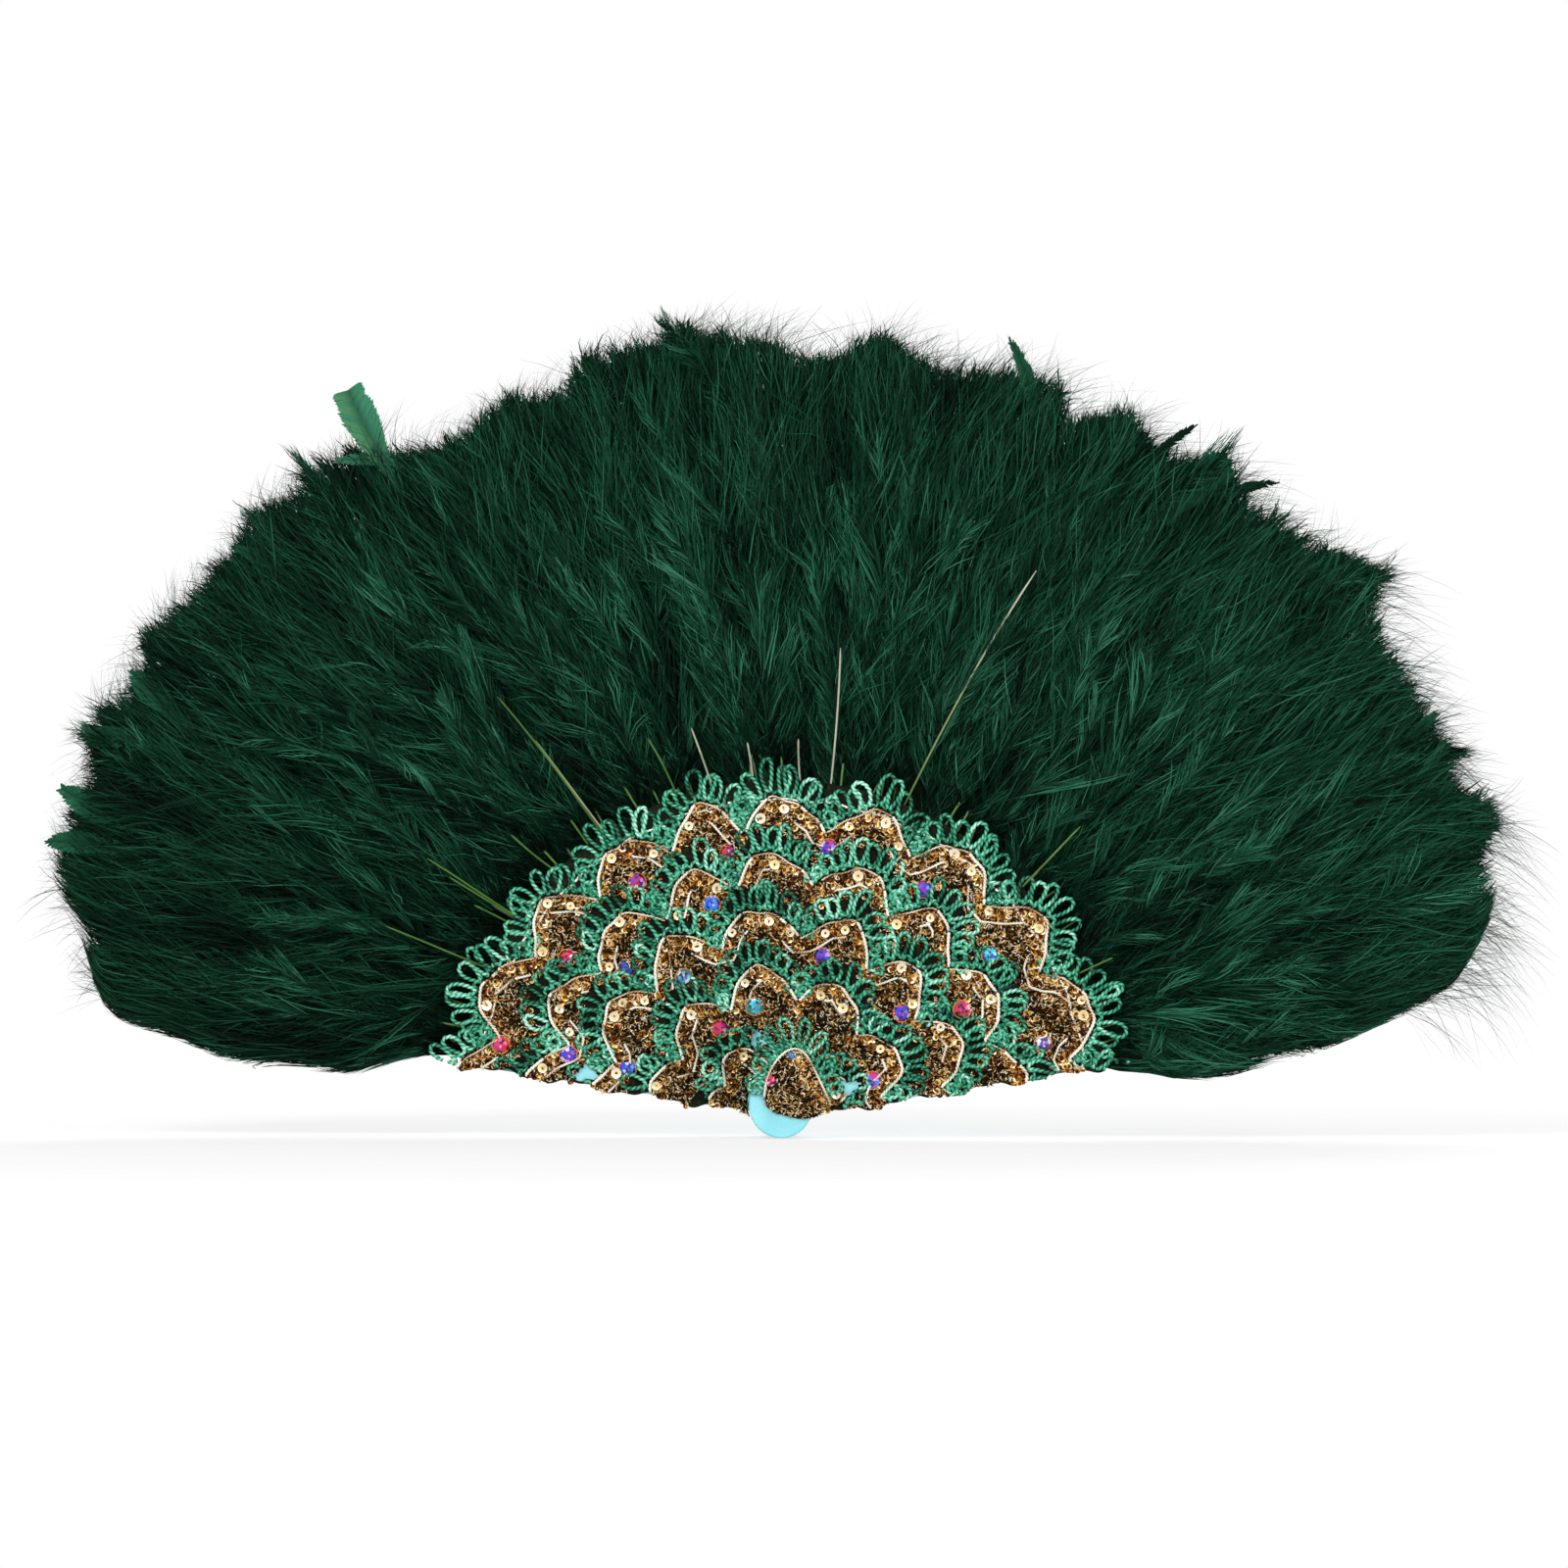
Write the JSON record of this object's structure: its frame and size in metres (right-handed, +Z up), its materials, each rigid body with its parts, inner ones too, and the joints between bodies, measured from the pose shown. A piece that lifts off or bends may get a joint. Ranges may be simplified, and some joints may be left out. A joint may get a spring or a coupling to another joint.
{
  "type": "folding feather hand fan",
  "caption": "Folding hand fan of riveted plastic leaves, faced with scalloped sequin lace and edged with down feathers.",
  "frame": {"origin": "centre of the pivot, on the rivet's axis, halfway through the stack of leaves, where the hand holds the fan", "axes": "+X to the right as the front is seen, +Y to the back along the rivet, +Z up along the middle leaf"},
  "size_m": [0.5504, 0.0413, 0.3102],
  "materials": {
    "blue_plastic": "gloss",
    "green_lace": "silky cord",
    "gold_lace": "sequinned",
    "ribbon": "satin",
    "quill": "satin",
    "feather": "soft down"
  },
  "bodies": {
    "left_guard": {"left_guard_blade": "blue_plastic", "outer_lace_1": "green_lace", "inner_lace_1": "gold_lace", "ribbon_1": "ribbon", "quills_1": "quill", "plume_1": "feather"},
    "leaf_2": {"blade_2": "blue_plastic", "outer_lace_2": "green_lace", "inner_lace_2": "gold_lace", "ribbon_2": "ribbon", "quills_2": "quill", "plume_2": "feather"},
    "leaf_3": {"blade_3": "blue_plastic", "outer_lace_3": "green_lace", "inner_lace_3": "gold_lace", "ribbon_3": "ribbon", "quills_3": "quill", "plume_3": "feather"},
    "leaf_4": {"blade_4": "blue_plastic", "outer_lace_4": "green_lace", "inner_lace_4": "gold_lace", "ribbon_4": "ribbon", "quills_4": "quill", "plume_4": "feather"},
    "middle_leaf": {"blade_5": "blue_plastic", "outer_lace_5": "green_lace", "inner_lace_5": "gold_lace", "ribbon_5": "ribbon", "quills_5": "quill", "plume_5": "feather", "rivet_pin": "blue_plastic", "pivot_cap": "blue_plastic", "back_washer": "blue_plastic", "pivot_lace": "gold_lace"},
    "leaf_6": {"blade_6": "blue_plastic", "outer_lace_6": "green_lace", "inner_lace_6": "gold_lace", "ribbon_6": "ribbon", "quills_6": "quill", "plume_6": "feather"},
    "leaf_7": {"blade_7": "blue_plastic", "outer_lace_7": "green_lace", "inner_lace_7": "gold_lace", "ribbon_7": "ribbon", "quills_7": "quill", "plume_7": "feather"},
    "leaf_8": {"blade_8": "blue_plastic", "outer_lace_8": "green_lace", "inner_lace_8": "gold_lace", "ribbon_8": "ribbon", "quills_8": "quill", "plume_8": "feather"},
    "right_guard": {"right_guard_blade": "blue_plastic", "outer_lace_9": "green_lace", "inner_lace_9": "gold_lace", "ribbon_9": "ribbon", "quills_9": "quill", "plume_9": "feather"}
  },
  "joints": [
    {"name": "right_guard_fold", "type": "hinge", "parent": "middle_leaf", "child": "right_guard", "pos_m": [0, 0, 0], "axis": [0, -1, 0], "range_deg": [0, 73]},
    {"name": "leaf_8_fold", "type": "hinge", "parent": "middle_leaf", "child": "leaf_8", "pos_m": [0, 0, 0], "axis": [0, -1, 0], "range_deg": [0, 54.75]},
    {"name": "leaf_7_fold", "type": "hinge", "parent": "middle_leaf", "child": "leaf_7", "pos_m": [0, 0, 0], "axis": [0, -1, 0], "range_deg": [0, 36.5]},
    {"name": "leaf_6_fold", "type": "hinge", "parent": "middle_leaf", "child": "leaf_6", "pos_m": [0, 0, 0], "axis": [0, -1, 0], "range_deg": [0, 18.25]},
    {"name": "leaf_4_fold", "type": "hinge", "parent": "middle_leaf", "child": "leaf_4", "pos_m": [0, 0, 0], "axis": [0, -1, 0], "range_deg": [-18.25, 0]},
    {"name": "leaf_3_fold", "type": "hinge", "parent": "middle_leaf", "child": "leaf_3", "pos_m": [0, 0, 0], "axis": [0, -1, 0], "range_deg": [-36.5, 0]},
    {"name": "leaf_2_fold", "type": "hinge", "parent": "middle_leaf", "child": "leaf_2", "pos_m": [0, 0, 0], "axis": [0, -1, 0], "range_deg": [-54.75, 0]},
    {"name": "left_guard_fold", "type": "hinge", "parent": "middle_leaf", "child": "left_guard", "pos_m": [0, 0, 0], "axis": [0, -1, 0], "range_deg": [-73, 0]}
  ],
  "couplings": [
    {"joint": "leaf_8_fold", "follows": "right_guard_fold", "ratio": 0.75},
    {"joint": "leaf_7_fold", "follows": "right_guard_fold", "ratio": 0.5},
    {"joint": "leaf_6_fold", "follows": "right_guard_fold", "ratio": 0.25},
    {"joint": "leaf_4_fold", "follows": "right_guard_fold", "ratio": -0.25},
    {"joint": "leaf_3_fold", "follows": "right_guard_fold", "ratio": -0.5},
    {"joint": "leaf_2_fold", "follows": "right_guard_fold", "ratio": -0.75},
    {"joint": "left_guard_fold", "follows": "right_guard_fold", "ratio": -1}
  ]
}
